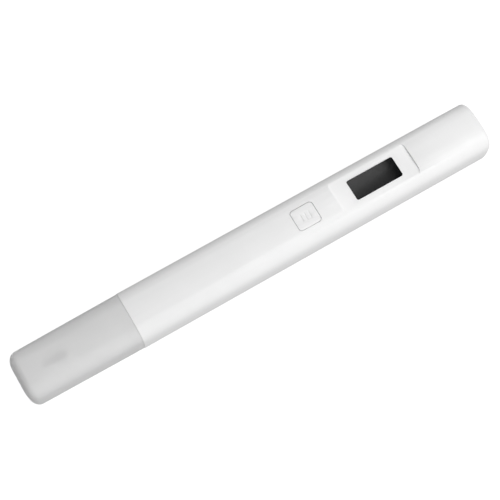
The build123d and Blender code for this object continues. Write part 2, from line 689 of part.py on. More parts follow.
def button():
    """Key cap whose face follows the pen's crown, with retaining lip, post and ribs."""
    length = BUTTON_HOLE_L - 2 * BUTTON_GAP
    width = BUTTON_HOLE_W - 2 * BUTTON_GAP
    outline = Pos(BUTTON_X, 0) * RectangleRounded(length, width, BUTTON_R - BUTTON_GAP)
    key = plate(outline, BUTTON_FLANGE_BACK, SIZE)
    key = key & bar(BUTTON_SINK, BUTTON_X - length, BUTTON_X + length)
    key += plate(button_flange_outline(), BUTTON_FLANGE_BACK, BUTTON_FLANGE_TOP)
    hollow_l = length - 2 * BUTTON_SIDE_WALL
    hollow_w = width - 2 * BUTTON_SIDE_WALL
    ceiling = SIZE - BUTTON_SINK - BUTTON_TOP_WALL
    hollow = Pos(BUTTON_X, 0) * Rectangle(hollow_l, hollow_w)
    key -= plate(hollow, BUTTON_FLANGE_BACK, ceiling)
    ribs = Rectangle(hollow_l, BUTTON_RIB_T) + Rectangle(BUTTON_RIB_T, hollow_w)
    key += plate(Pos(BUTTON_X, 0) * ribs, BUTTON_FLANGE_BACK, ceiling)
    key += plate(Pos(BUTTON_X, 0) * Circle(BUTTON_POST_D / 2), PLUNGER_TOP, ceiling)
    for index in range(RIPPLE_COUNT):
        shift = (index - (RIPPLE_COUNT - 1) / 2) * RIPPLE_PITCH
        ripple = Pos(BUTTON_X + shift, 0) * Rectangle(RIPPLE_W, RIPPLE_L)
        key -= plate(ripple, SIZE - BUTTON_SINK - RIPPLE_DEPTH, SIZE)
    return key


def button_seal():
    """Soft ring on the deck, round the button's post."""
    length = 2 * (DECK_REACH - SEAL_MARGIN)
    width = BUTTON_HOLE_W + 2 * BUTTON_FLANGE_LAP
    outline = Pos(BUTTON_X, 0) * Rectangle(length, width)
    outline -= Pos(BUTTON_X, 0) * Circle(BUTTON_POST_D / 2 + SEAL_HOLE_CLEAR)
    return plate(outline, DECK_Z, BUTTON_SEAL_TOP)


def battery_carrier():
    """Pull-out end plug with the cradle that holds the cells in line."""
    plug = bar(FIT_INSET, PLUG_FACE, TAIL)
    plug -= seal_groove(FIT_INSET, TAIL - PLUG_SEAL_FROM_TAIL)
    scoop_x = TAIL + PULL_SCOOP_R - PULL_SCOOP_DEPTH
    scoop = Plane.XZ.offset(-PULL_SCOOP_W / 2) * Pos(scoop_x, AXIS_Z) * Circle(PULL_SCOOP_R)
    plug -= extrude(scoop, PULL_SCOOP_W)
    half = SIZE / 2 - FIT_INSET
    reach = (CARRIER_FRONT, PLUG_FACE)
    cradle = bar(FIT_INSET, CARRIER_FRONT, PLUG_FACE)
    open_reach = (CARRIER_FRONT + COLLAR_L, PLUG_FACE)
    cradle -= block(open_reach, (-half, half), (AXIS_Z + CRADLE_RIM, SIZE))
    bore_start = CELLS_START - CONTACT_GAP
    cradle -= rod(SPRING_ROOM_R, CARRIER_FRONT, bore_start)
    cradle -= rod(CELL_D / 2 + CELL_CLEAR, bore_start, PLUG_FACE)
    push_hole = Rectangle(PUSH_HOLE_L, PUSH_HOLE_W)
    middle = (CELLS_START + CELLS_END) / 2
    cradle -= plate(Pos(middle, 0) * push_hole, 0, AXIS_Z)
    groove_z = (AXIS_Z - STRIP_W / 2 - STRIP_CLEAR, AXIS_Z + STRIP_W / 2 + STRIP_CLEAR)
    cradle -= block(reach, (-half, -half + STRIP_T + STRIP_CLEAR), groove_z)
    notch = (PLUG_FACE - STRIP_T - STRIP_CLEAR, PLUG_FACE)
    cradle -= block(notch, (-half, 0), groove_z)
    return plug + cradle


def positive_strip():
    """Nickel strip: pad behind the cells, a run along the cradle and a fold at its front."""
    half = SIZE / 2 - FIT_INSET
    outer = -half + STRIP_CLEAR
    inner = outer + STRIP_T
    front = CARRIER_FRONT - STRIP_T
    rear = PLUG_FACE - STRIP_T
    outline = Polyline(
        (PLUG_FACE, 0),
        (PLUG_FACE, outer),
        (front, outer),
        (front, outer + STRIP_FOLD),
        (CARRIER_FRONT, outer + STRIP_FOLD),
        (CARRIER_FRONT, inner),
        (rear, inner),
        (rear, 0),
        close=True,
    )
    low = AXIS_Z - STRIP_W / 2
    strip = plate(make_face(outline), low, low + STRIP_W)
    return strip + rod(STRIP_PAD_D / 2, rear, PLUG_FACE)


def battery_cell(index):
    """Button cell lying on its side, with its smaller negative cap forwards."""
    start = CELLS_START + index * CELL_PITCH
    shoulder = start + CELL_CAP_H
    end = start + CELL_T
    can = rod(CELL_D / 2, shoulder, end)
    return can + rod(CELL_CAP_D / 2, start, shoulder)


def spring_plate():
    """Contact disc on the bulkhead with a tab that runs under the board."""
    disc = rod(SPRING_PLATE_D / 2, BULKHEAD_REAR, BULKHEAD_REAR + SPRING_PLATE_T)
    tab = block(
        (BOARD_END - TAB_REACH, BULKHEAD_REAR + SPRING_PLATE_T),
        (NEGATIVE_TAB_Y - TAB_W / 2, NEGATIVE_TAB_Y + TAB_W / 2),
        (BOARD_BOTTOM - TAB_T, BOARD_BOTTOM),
    )
    return disc + tab


def negative_spring():
    """Conical coil from the plate up to the inner cell, drawn at its seated length."""
    run = SPRING_LENGTH - SPRING_WIRE
    start = BULKHEAD_REAR + SPRING_PLATE_T + CONTACT_GAP + SPRING_WIRE / 2
    path = Helix(
        pitch=run / SPRING_TURNS,
        height=run,
        radius=SPRING_BASE_R,
        center=(start, 0, AXIS_Z),
        direction=(1, 0, 0),
        cone_angle=-SPRING_CONE,
    )
    wire = RegularPolygon(SPRING_WIRE / 2, SPRING_WIRE_SIDES)
    return sweep(Plane(origin=path @ 0, z_dir=path % 0) * wire, path=path, is_frenet=True)


def positive_tab_y():
    """Centre of the positive contact's tab, just inside the tray's wall."""
    return -(SIZE / 2 - FIT_INSET - FRAME_WALL) + TAB_W / 2 + TAB_SLOT_CLEAR


def positive_contact():
    """Sprung pad on the bulkhead with a dimple that meets the strip's fold."""
    outer = -(SIZE / 2 - FIT_INSET) + STRIP_CLEAR
    pad = block(
        (BULKHEAD_REAR, BULKHEAD_REAR + STRIP_T),
        (outer, outer + POSITIVE_PAD_W),
        (AXIS_Z - STRIP_W / 2, AXIS_Z + STRIP_W / 2),
    )
    room = CARRIER_GAP - 2 * STRIP_T - CONTACT_GAP
    dimple_y = outer + POSITIVE_PAD_W / 2
    dimple = Plane.YZ.offset(BULKHEAD_REAR + STRIP_T) * Pos(dimple_y, AXIS_Z) * Circle(DIMPLE_R)
    pad += extrude(dimple, room, taper=35)
    tab_y = positive_tab_y()
    pad += block(
        (BOARD_END - TAB_REACH, BULKHEAD_REAR + STRIP_T),
        (tab_y - TAB_W / 2, tab_y + TAB_W / 2),
        (BOARD_BOTTOM - TAB_T, BOARD_BOTTOM),
    )
    return pad


def controller_chip():
    """Moulded chip package with two rows of bent legs."""
    outline = Pos(CHIP_X, 0) * Rectangle(CHIP_L, CHIP_W)
    low = BOARD_TOP + CHIP_LIFT
    body = plate(outline, low, low + CHIP_H)
    body = chamfer(body.edges().filter_by(Axis.X).sort_by(Axis.Z)[-2:], CHIP_LIFT)
    for index in range(CHIP_LEGS):
        x = CHIP_X + (index - (CHIP_LEGS - 1) / 2) * CHIP_LEG_PITCH
        for side in (-1, 1):
            body += leg(x, side, CHIP_W / 2, CHIP_SPAN / 2, CHIP_H / 2, CHIP_LEG_W)
    return body


def crystal():
    """Flat oscillator can on the board, on the far side of the screw from the chip."""
    outline = Pos(CRYSTAL_X, 0) * Rectangle(CRYSTAL_L, CRYSTAL_W)
    base = plate(outline, BOARD_TOP, BOARD_TOP + CRYSTAL_H)
    return chamfer(base.faces().sort_by(Axis.Z)[-1].edges(), CRYSTAL_H / 4)


def chip_parts():
    """Row of small surface-mounted parts beside the chip."""
    y = CHIP_SPAN / 2 + SMALL_PART_CLEAR + SMALL_PART_W / 2
    parts = []
    for index in range(SMALL_PART_COUNT):
        x = CHIP_X + (index - (SMALL_PART_COUNT - 1) / 2) * SMALL_PART_PITCH
        body = Pos(x, y) * Rectangle(SMALL_PART_L, SMALL_PART_W)
        parts.append(plate(body, BOARD_TOP, BOARD_TOP + SMALL_PART_H))
    return group(parts)


def all_nodes():
    """Every node of the model by name, still at its station."""
    nodes = {
        "cap": cap(),
        "main_shell": main_shell(),
        "probe_head": probe_head(),
        "probe_pins": probe_pins(),
        "thermistor": thermistor(),
        "window_lens": window_lens(),
        "window_gasket": window_gasket(),
        "lcd_panel": lcd_panel(),
        "zebra_strip_left": zebra_strip(-1),
        "zebra_strip_right": zebra_strip(1),
        "display_frame": display_frame(),
        "main_board": main_board(),
        "controller_chip": controller_chip(),
        "crystal": crystal(),
        "chip_parts": chip_parts(),
        "tact_switch": tact_switch(),
        "switch_plunger": switch_plunger(),
        "button": button(),
        "button_seal": button_seal(),
        "inner_frame": inner_frame(),
        "board_screws": board_screws(),
        "battery_carrier": battery_carrier(),
        "plug_seal": seal_ring(FIT_INSET, TAIL - PLUG_SEAL_FROM_TAIL),
        "positive_strip": positive_strip(),
        "spring_plate": spring_plate(),
        "negative_spring": negative_spring(),
        "positive_contact": positive_contact(),
    }
    for index in range(CELL_COUNT):
        nodes[f"battery_cell_{index + 1}"] = battery_cell(index)
    return nodes


def main():
    os.makedirs("parts", exist_ok=True)
    for name, piece in all_nodes().items():
        export_step(Pos(-TAIL / 2, 0, 0) * piece, f"parts/{name}.step")


main()
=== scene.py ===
import math

import bmesh
import bpy
import numpy as np
from mathutils import Matrix, Vector


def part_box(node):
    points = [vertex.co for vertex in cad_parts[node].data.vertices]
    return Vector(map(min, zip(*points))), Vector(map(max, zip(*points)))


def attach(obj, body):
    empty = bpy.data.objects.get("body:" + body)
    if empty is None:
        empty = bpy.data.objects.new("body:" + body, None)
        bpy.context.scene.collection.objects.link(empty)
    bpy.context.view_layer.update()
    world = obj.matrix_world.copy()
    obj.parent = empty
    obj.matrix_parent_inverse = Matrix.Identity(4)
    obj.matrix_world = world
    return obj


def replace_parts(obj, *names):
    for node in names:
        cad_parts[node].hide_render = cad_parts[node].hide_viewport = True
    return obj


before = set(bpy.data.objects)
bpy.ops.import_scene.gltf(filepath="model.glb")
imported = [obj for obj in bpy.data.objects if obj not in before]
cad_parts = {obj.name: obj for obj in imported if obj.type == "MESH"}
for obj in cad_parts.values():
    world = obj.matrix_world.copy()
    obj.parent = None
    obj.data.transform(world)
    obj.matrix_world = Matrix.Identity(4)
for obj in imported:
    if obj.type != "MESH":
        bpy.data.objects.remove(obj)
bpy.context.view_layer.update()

# Pen-type water meter. It lies on its flat back with the cap towards -X and the display
# facing +Z. The camera, the lights and the studio set are in metres. The pen's own lengths
# are in millimetres, counted along it from the cap's tip, and MM turns them into metres.
MM = 0.001
LENGTH = 150.2
SIZE = 16.2
SIDE_R = 36.0
CORNER_R = 5.2


# Camera, at the place and angle of the photograph

VIEW_TURN = math.radians(29.090)
VIEW_PITCH = math.radians(9.963)
VIEW_ROLL = math.radians(-13.596)
VIEW_PLACE = (-0.06268, -0.08151, 0.35009)
LENS = 90.23
SENSOR = 36.0


def add_camera():
    """Camera whose axes are the rows of turn * pitch * roll, with no shift."""
    turn = (
        Matrix.Rotation(VIEW_TURN, 3, "Z")
        @ Matrix.Rotation(VIEW_PITCH, 3, "Y")
        @ Matrix.Rotation(VIEW_ROLL, 3, "X")
    )
    data = bpy.data.cameras.new("camera")
    data.lens = LENS
    data.sensor_width = SENSOR
    data.clip_start = 0.01
    data.clip_end = 20.0
    camera = bpy.data.objects.new("camera", data)
    camera.matrix_world = Matrix.Translation(VIEW_PLACE) @ turn.transposed().to_4x4()
    bpy.context.scene.collection.objects.link(camera)
    bpy.context.scene.camera = camera


# Light and studio set

SKY_STRENGTH = 0.48
KEY_PLACE = (0.24, -0.17, 0.46)
KEY_SIZE = 0.28
KEY_POWER = 1.58
FILL_PLACE = (0.05, -0.60, 0.08)
FILL_SIZE = 0.30
FILL_POWER = 0.85
FLOOR_HALF = 2.4
FLOOR_Z = -0.00002
DOME_RADIUS = 2.4
DOME_TOP = 1.5
DOME_ROWS = 16
DOME_COLUMNS = 48
PAPER_GLOW = 0.93
BACKDROP_GLOW = 1.05
WHITE_CARD_GLOW = 1.7
CARD_HEIGHT = 0.5
CARD_SPLIT = 0.1995
CARD_REACH = 0.16
CARD_LOW_SIDE = (0.1150, 0.1185)
CARD_MIRRORED = 0.0377


def add_area_light(name, place, size, power):
    """Square soft light that faces the middle of the pen."""
    data = bpy.data.lights.new(name, "AREA")
    data.shape = "SQUARE"
    data.size = size
    data.energy = power
    light = bpy.data.objects.new(name, data)
    light.location = place
    light.rotation_mode = "QUATERNION"
    light.rotation_quaternion = Vector(place).to_track_quat("Z", "Y")
    bpy.context.scene.collection.objects.link(light)


def add_sky():
    """Even studio surround that lights the pen softly from everywhere."""
    world = bpy.data.worlds.new("studio")
    bpy.context.scene.world = world
    world.use_nodes = True
    background = world.node_tree.nodes["Background"]
    background.inputs["Color"].default_value = (1.0, 1.0, 1.0, 1.0)
    background.inputs["Strength"].default_value = SKY_STRENGTH


def add_stage_sheet(name, points, faces, material):
    """Part of the studio set. It shows, but throws no light of its own on the pen."""
    mesh = bpy.data.meshes.new(name)
    mesh.from_pydata([tuple(p) for p in points], [], [tuple(f) for f in faces])
    mesh.materials.append(material)
    sheet = bpy.data.objects.new(name, mesh)
    bpy.context.scene.collection.objects.link(sheet)
    sheet.visible_diffuse = False
    sheet.visible_glossy = False
    sheet.visible_transmission = False
    return sheet


def add_surround(paper, backdrop):
    """Flat paper under the pen, and a dome that stands on it as a backdrop. A point of the dome
    is its radius times the cosine and sine of a turn and of a rise."""
    ends = ((-1, -1), (1, -1), (1, 1), (-1, 1))
    corners = [(x * FLOOR_HALF, y * FLOOR_HALF, FLOOR_Z) for x, y in ends]
    add_stage_sheet("floor", corners, [(0, 1, 2, 3)], paper)
    turns = np.linspace(0, 2 * math.pi, DOME_COLUMNS, endpoint=False)
    turn, rise = np.meshgrid(turns, np.linspace(0, DOME_TOP, DOME_ROWS))
    points = DOME_RADIUS * np.stack(
        [np.cos(turn) * np.cos(rise), np.sin(turn) * np.cos(rise), np.sin(rise)], axis=-1
    ).reshape(-1, 3)
    dome = add_stage_sheet("backdrop", points, grid_faces(DOME_ROWS, DOME_COLUMNS), backdrop)
    dome.visible_shadow = False


def add_reflected_cards(bright, black):
    """White card and black flag over the pen, seen only in polished faces. They meet at
    CARD_SPLIT along X. Over CARD_MIRRORED, the stretch that the window mirrors, the white card's
    near edge slants from the first to the second value of CARD_LOW_SIDE, so the window shows a
    slanting pale patch with a dark end."""
    left = CARD_SPLIT - CARD_REACH
    right = CARD_SPLIT + CARD_REACH
    near, far = CARD_LOW_SIDE
    start = near - (far - near) / CARD_MIRRORED * (CARD_REACH - CARD_MIRRORED)
    low, high = far - CARD_REACH, far + CARD_REACH
    pale = [(left, start), (CARD_SPLIT, far), (CARD_SPLIT, high), (left, high)]
    dark = [(CARD_SPLIT, low), (right, low), (right, high), (CARD_SPLIT, high)]
    for name, corners, material in (("white_card", pale, bright), ("black_flag", dark, black)):
        points = [(x, y, CARD_HEIGHT) for x, y in corners]
        card = add_stage_sheet(name, points, [(0, 1, 2, 3)], material)
        card.visible_camera = False
        card.visible_glossy = True
        card.visible_shadow = False


# Node helpers

PATTERN_LOW = 0.3
PATTERN_HIGH = 0.7


def new_material(name):
    """A material, its node tree and its principled shader."""
    material = bpy.data.materials.new(name)
    material.use_nodes = True
    tree = material.node_tree
    shader = next(n for n in tree.nodes if n.type == "BSDF_PRINCIPLED")
    return material, tree, shader


def place_node(tree, stretch=(1.0, 1.0, 1.0)):
    """Object coordinates, stretched along the axes, ready for a pattern."""
    coordinates = tree.nodes.new("ShaderNodeTexCoord")
    mapping = tree.nodes.new("ShaderNodeMapping")
    mapping.inputs["Scale"].default_value = stretch
    tree.links.new(coordinates.outputs["Object"], mapping.inputs["Vector"])
    return mapping.outputs["Vector"]


def noise(tree, vector, scale, detail):
    """Noise pattern. Its scale is its number of features in a metre."""
    node = tree.nodes.new("ShaderNodeTexNoise")
    node.inputs["Scale"].default_value = scale
    node.inputs["Detail"].default_value = detail
    tree.links.new(vector, node.inputs["Vector"])
    return node.outputs["Fac"]


def spread(tree, pattern, low, high):
    """The pattern's usual values spread over the reach from low to high."""
    node = tree.nodes.new("ShaderNodeMapRange")
    node.inputs["From Min"].default_value = PATTERN_LOW
    node.inputs["From Max"].default_value = PATTERN_HIGH
    node.inputs["To Min"].default_value = low
    node.inputs["To Max"].default_value = high
    tree.links.new(pattern, node.inputs["Value"])
    return node.outputs["Result"]


def add_color(tree, shader, share, first, second):
    """Base colour that goes from the first colour to the second as the share goes from 0 to 1."""
    node = tree.nodes.new("ShaderNodeMix")
    node.data_type = "RGBA"
    node.inputs[6].default_value = (*first, 1.0)
    node.inputs[7].default_value = (*second, 1.0)
    tree.links.new(share, node.inputs[0])
    tree.links.new(node.outputs[2], shader.inputs["Base Color"])


def add_blotches(tree, shader, pattern, first, second):
    """Base colour that wanders between two colours with the pattern."""
    add_color(tree, shader, spread(tree, pattern, 0, 1), first, second)


def add_roughness(tree, shader, pattern, low, high):
    """Roughness that wanders between two values with the pattern."""
    tree.links.new(spread(tree, pattern, low, high), shader.inputs["Roughness"])


def add_bump(tree, shader, *heights):
    """Bumps one on another. Each entry is a pattern, its depth in metres and its strength."""
    normal = None
    for height, depth, strength in heights:
        node = tree.nodes.new("ShaderNodeBump")
        node.inputs["Distance"].default_value = depth
        node.inputs["Strength"].default_value = strength
        tree.links.new(height, node.inputs["Height"])
        if normal is not None:
            tree.links.new(normal, node.inputs["Normal"])
        normal = node.outputs["Normal"]
    tree.links.new(normal, shader.inputs["Normal"])


def shaded(color, factor):
    """The colour times a factor."""
    return tuple(c * factor for c in color)


# Finishes of the pen

SHELL_WHITE = (0.86, 0.86, 0.86)
PROBE_WHITE = (0.82, 0.82, 0.81)
CARRIER_WHITE = (0.78, 0.78, 0.78)
INNER_GREY = (0.52, 0.52, 0.52)
EPOXY_BLACK = (0.03, 0.03, 0.033)
CERAMIC_TAN = (0.42, 0.31, 0.21)
NICKEL = (0.66, 0.63, 0.57)
TITANIUM = (0.5, 0.48, 0.45)
CELL_STEEL = (0.7, 0.7, 0.68)
SILICONE_GREY = (0.36, 0.37, 0.38)
FOAM_BLACK = (0.02, 0.02, 0.02)
FROSTED_IOR = 1.25


def moulded_plastic(name, color, roughness, grain):
    """Spark-eroded moulded plastic: fine grain, slow sink marks, faint blotches of colour and gloss."""
    material, tree, shader = new_material(name)
    vector = place_node(tree)
    blotch = noise(tree, vector, scale=90.0, detail=3.0)
    add_blotches(tree, shader, blotch, color, shaded(color, 0.975))
    gloss = noise(tree, vector, scale=420.0, detail=3.0)
    add_roughness(tree, shader, gloss, roughness - 0.04, roughness + 0.05)
    fine = noise(tree, vector, scale=5200.0, detail=1.0)
    slow = noise(tree, vector, scale=160.0, detail=1.0)
    add_bump(tree, shader, (slow, 0.00006, 0.25), (fine, 0.00002, grain))
    return material


def frosted_plastic(name):
    """Satin see-through plastic: light scatters in it, so what lies inside shows only as a blur."""
    material, tree, shader = new_material(name)
    vector = place_node(tree)
    blotch = noise(tree, vector, scale=70.0, detail=2.0)
    add_blotches(tree, shader, blotch, (0.97, 0.97, 0.97), (0.95, 0.95, 0.95))
    fine = noise(tree, vector, scale=3800.0, detail=2.0)
    add_roughness(tree, shader, fine, 0.30, 0.36)
    shader.inputs["Transmission Weight"].default_value = 0.37
    shader.inputs["IOR"].default_value = FROSTED_IOR
    slow = noise(tree, vector, scale=160.0, detail=1.0)
    add_bump(tree, shader, (slow, 0.00003, 0.1))
    return material


def smooth_inner_wall(name):
    """Smooth inside of the cap, with a faint haze."""
    material, tree, shader = new_material(name)
    haze = noise(tree, place_node(tree), scale=300.0, detail=2.0)
    add_blotches(tree, shader, haze, (1.0, 1.0, 1.0), (0.97, 0.97, 0.97))
    add_roughness(tree, shader, haze, 0.12, 0.18)
    shader.inputs["Transmission Weight"].default_value = 1.0
    shader.inputs["IOR"].default_value = FROSTED_IOR
    return material


def polished_lens(name):
    """Smoked clear plastic with a hard polished face and the faintest ripple."""
    material, tree, shader = new_material(name)
    vector = place_node(tree)
    blotch = noise(tree, vector, scale=60.0, detail=1.0)
    add_blotches(tree, shader, blotch, (0.003, 0.0032, 0.0034), (0.005, 0.0052, 0.0054))
    smear = noise(tree, vector, scale=700.0, detail=3.0)
    add_roughness(tree, shader, smear, 0.05, 0.08)
    shader.inputs["Alpha"].default_value = 0.93
    ripple = noise(tree, vector, scale=160.0, detail=0.0)
    add_bump(tree, shader, (ripple, 0.00003, 0.1))
    return material


def plated_metal(name, color, roughness, stretch):
    """Plated or drawn metal with fine drag lines and a few dull patches."""
    material, tree, shader = new_material(name)
    shader.inputs["Metallic"].default_value = 1.0
    lines = noise(tree, place_node(tree, stretch), scale=900.0, detail=3.0)
    patch = noise(tree, place_node(tree), scale=500.0, detail=2.0)
    add_blotches(tree, shader, patch, color, shaded(color, 0.93))
    add_roughness(tree, shader, lines, roughness - 0.03, roughness + 0.06)
    add_bump(tree, shader, (lines, 0.000004, 0.12))
    return material


def soft_rubber(name, color, roughness):
    """Silicone or foam: matt, with a dusty bloom and small pits."""
    material, tree, shader = new_material(name)
    vector = place_node(tree)
    dust = noise(tree, vector, scale=800.0, detail=4.0)
    paler = tuple(c * 1.25 + 0.01 for c in color)
    add_blotches(tree, shader, dust, color, paler)
    add_roughness(tree, shader, dust, roughness - 0.06, roughness + 0.08)
    pits = noise(tree, vector, scale=3000.0, detail=2.0)
    add_bump(tree, shader, (pits, 0.00003, 0.35))
    return material


def circuit_board(name):
    """Green solder mask over faint tracks, with fibreglass weave under it."""
    material, tree, shader = new_material(name)
    vector = place_node(tree)
    tracks = tree.nodes.new("ShaderNodeTexBrick")
    tracks.inputs["Scale"].default_value = 260.0
    tracks.inputs["Mortar Size"].default_value = 0.05
    tracks.inputs["Color1"].default_value = (0.012, 0.085, 0.035, 1)
    tracks.inputs["Color2"].default_value = (0.016, 0.11, 0.045, 1)
    tracks.inputs["Mortar"].default_value = (0.03, 0.17, 0.07, 1)
    tree.links.new(vector, tracks.inputs["Vector"])
    tree.links.new(tracks.outputs["Color"], shader.inputs["Base Color"])
    weave = noise(tree, vector, scale=1500.0, detail=2.0)
    add_roughness(tree, shader, weave, 0.25, 0.4)
    add_bump(tree, shader, (tracks.outputs["Fac"], 0.00003, 0.6), (weave, 0.00001, 0.2))
    return material


def layered_elastomer(name):
    """Contact strip: fine dark conducting layers between pink insulating ones, across X."""
    material, tree, shader = new_material(name)
    wave = tree.nodes.new("ShaderNodeTexWave")
    wave.wave_type = "BANDS"
    wave.bands_direction = "X"
    wave.inputs["Scale"].default_value = 1800.0
    tree.links.new(place_node(tree), wave.inputs["Vector"])
    layers = wave.outputs["Fac"]
    add_color(tree, shader, layers, (0.03, 0.03, 0.035), (0.72, 0.42, 0.46))
    grain = noise(tree, place_node(tree), scale=2500.0, detail=2.0)
    add_roughness(tree, shader, grain, 0.5, 0.65)
    add_bump(tree, shader, (layers, 0.00002, 0.4))
    return material


def display_glass(name):
    """Grey-green display glass with a cloudy polariser film."""
    material, tree, shader = new_material(name)
    vector = place_node(tree)
    cloud = noise(tree, vector, scale=240.0, detail=3.0)
    add_blotches(tree, shader, cloud, (0.20, 0.22, 0.18), (0.25, 0.27, 0.23))
    film = noise(tree, vector, scale=2200.0, detail=2.0)
    add_roughness(tree, shader, film, 0.18, 0.32)
    shader.inputs["Coat Weight"].default_value = 0.4
    add_bump(tree, shader, (film, 0.00001, 0.2))
    return material


# Finishes of the studio set

def add_glow(shader, strength):
    """A white glow with no gloss over it."""
    shader.inputs["Specular IOR Level"].default_value = 0.0
    shader.inputs["Emission Color"].default_value = (1, 1, 1, 1)
    shader.inputs["Emission Strength"].default_value = strength


def glowing_sheet(name, strength):
    """Studio sheet that only glows, as bright as its strength."""
    material, _, shader = new_material(name)
    shader.inputs["Base Color"].default_value = (0, 0, 0, 1)
    add_glow(shader, strength)
    return material


def studio_paper(name):
    """White sheet that glows, as an overexposed studio sweep does, so shadows on it stay faint."""
    material, tree, shader = new_material(name)
    fibre = noise(tree, place_node(tree), scale=60.0, detail=3.0)
    add_blotches(tree, shader, fibre, (0.22, 0.22, 0.22), (0.20, 0.20, 0.20))
    shader.inputs["Roughness"].default_value = 0.9
    add_glow(shader, PAPER_GLOW)
    return material


# Mesh helpers

MERGE_DISTANCE = 2e-7
FLAT_ANGLE = math.radians(0.4)
EDGE_ANGLE = math.radians(35.0)


def put_mesh(name, points, faces, body, material, smooth_angle=40.0):
    """New object from an array of points in metres and a list or array of faces."""
    mesh = bpy.data.meshes.new(name)
    mesh.from_pydata(points.tolist(), [], [tuple(f) for f in faces])
    mesh.update()
    mesh.polygons.foreach_set("use_smooth", np.ones(len(mesh.polygons), bool))
    mesh.set_sharp_from_angle(angle=math.radians(smooth_angle))
    mesh.materials.append(material)
    piece = bpy.data.objects.new(name, mesh)
    bpy.context.scene.collection.objects.link(piece)
    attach(piece, body)
    return piece


def grid_faces(rows, columns):
    """Quads of a grid that closes on itself along its rows. They face outwards where the rows
    turn anticlockwise seen from the side that they advance to."""
    row = np.arange(rows - 1)[:, None]
    column = np.arange(columns)[None, :]
    after = (column + 1) % columns
    a = row * columns + column
    b = row * columns + after
    c = (row + 1) * columns + after
    d = (row + 1) * columns + column
    return np.stack([a, b, c, d], axis=-1).reshape(-1, 4)


def close_poles(points, faces, columns):
    """First and last row lie on one point each. Each is merged into one vertex, with a fan of
    triangles round it."""
    kept = np.r_[0, columns:len(points) - columns + 1]
    number = np.clip(np.arange(len(points)) - (columns - 1), 0, len(kept) - 1)
    return points[kept], [list(dict.fromkeys(face)) for face in number[faces].tolist()]


def joined(blocks, columns):
    """Closed grids with poles, joined into one array of points and one list of faces."""
    all_points, all_faces, used = [], [], 0
    for block in blocks:
        points, faces = close_poles(block, grid_faces(len(block) // columns, columns), columns)
        all_faces += [[i + used for i in face] for face in faces]
        all_points.append(points)
        used += len(points)
    return np.concatenate(all_points), all_faces


def outward(piece):
    """The closed piece with its faces turned to point outwards."""
    work = bmesh.new()
    work.from_mesh(piece.data)
    bmesh.ops.recalc_face_normals(work, faces=work.faces)
    work.to_mesh(piece.data)
    work.free()
    return piece


def finished_copy(node, name, body, material, edge):
    """A CAD node's own mesh with its points merged, its flats joined and its sharp edges eased."""
    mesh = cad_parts[node].data.copy()
    mesh.name = name
    work = bmesh.new()
    work.from_mesh(mesh)
    bmesh.ops.remove_doubles(work, verts=work.verts, dist=MERGE_DISTANCE)
    bmesh.ops.dissolve_limit(
        work, angle_limit=FLAT_ANGLE, verts=work.verts, edges=work.edges, delimit={"NORMAL"}
    )
    work.to_mesh(mesh)
    work.free()
    mesh.polygons.foreach_set("use_smooth", np.ones(len(mesh.polygons), bool))
    mesh.set_sharp_from_angle(angle=EDGE_ANGLE)
    mesh.materials.clear()
    mesh.materials.append(material)
    piece = bpy.data.objects.new(name, mesh)
    bpy.context.scene.collection.objects.link(piece)
    bevel = piece.modifiers.new("eased_edges", "BEVEL")
    bevel.width = edge * MM
    bevel.segments = 2
    bevel.limit_method = "ANGLE"
    bevel.angle_limit = EDGE_ANGLE
    bevel.harden_normals = True
    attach(piece, body)
    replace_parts(piece, node)
    return piece


def node_span(node, axis):
    """Lowest and highest place of a node along one axis, in millimetres."""
    low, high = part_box(node)
    return low[axis] / MM, high[axis] / MM


# Outline of the pen

CORNER_STEPS = 14
SIDE_STEPS = 14
BACK_STEPS = 8


def pen_outline():
    """Points and outward normals of the pen's outline in Y and Z, in millimetres, anticlockwise
    seen from +X, starting where the flat back ends towards +Y.

    The other three sides are arcs of SIDE_R whose middles touch the square of SIZE, and each
    corner is an arc of CORNER_R tangent to its two sides. A corner's centre lies CORNER_R
    inside the flat back, and SIDE_R - CORNER_R from the centre of an arced side.
    """
    half = SIZE / 2
    side_centre = SIDE_R - half
    reach = SIDE_R - CORNER_R
    low_z = CORNER_R
    low_y = math.sqrt(reach**2 - (low_z - half) ** 2) - side_centre
    high = (math.sqrt(2 * reach**2 - side_centre**2) - side_centre) / 2
    low_span = (-math.pi / 2, math.atan2(low_z - half, low_y + side_centre))
    high_span = (math.atan2(high, high + side_centre), math.atan2(high + side_centre, high))
    mirrored = [(math.pi - end, math.pi - start) for start, end in (high_span, low_span)]
    spans = [low_span, high_span, *mirrored]
    corners = [(low_y, low_z), (high, half + high), (-high, half + high), (-low_y, low_z)]
    sides = [(-side_centre, half), (0, half - side_centre), (side_centre, half)]
    arcs = []
    for index, (start, end) in enumerate(spans):
        arcs.append((corners[index], CORNER_R, start, end, CORNER_STEPS))
        if index < len(sides):
            arcs.append((sides[index], SIDE_R, end, spans[index + 1][0], SIDE_STEPS))
    points, normals = [], []
    for centre, radius, start, end, steps in arcs:
        angle = np.linspace(start, end, steps, endpoint=False)
        ring = np.stack([np.cos(angle), np.sin(angle)], axis=-1)
        points.append(np.asarray(centre) + radius * ring)
        normals.append(ring)
    back = np.linspace(-low_y, low_y, BACK_STEPS, endpoint=False)
    points.append(np.stack([back, np.zeros(BACK_STEPS)], axis=-1))
    normals.append(np.tile([0.0, -1.0], (BACK_STEPS, 1)))
    return np.concatenate(points), np.concatenate(normals)


OUTLINE, OUTLINE_OUT = pen_outline()


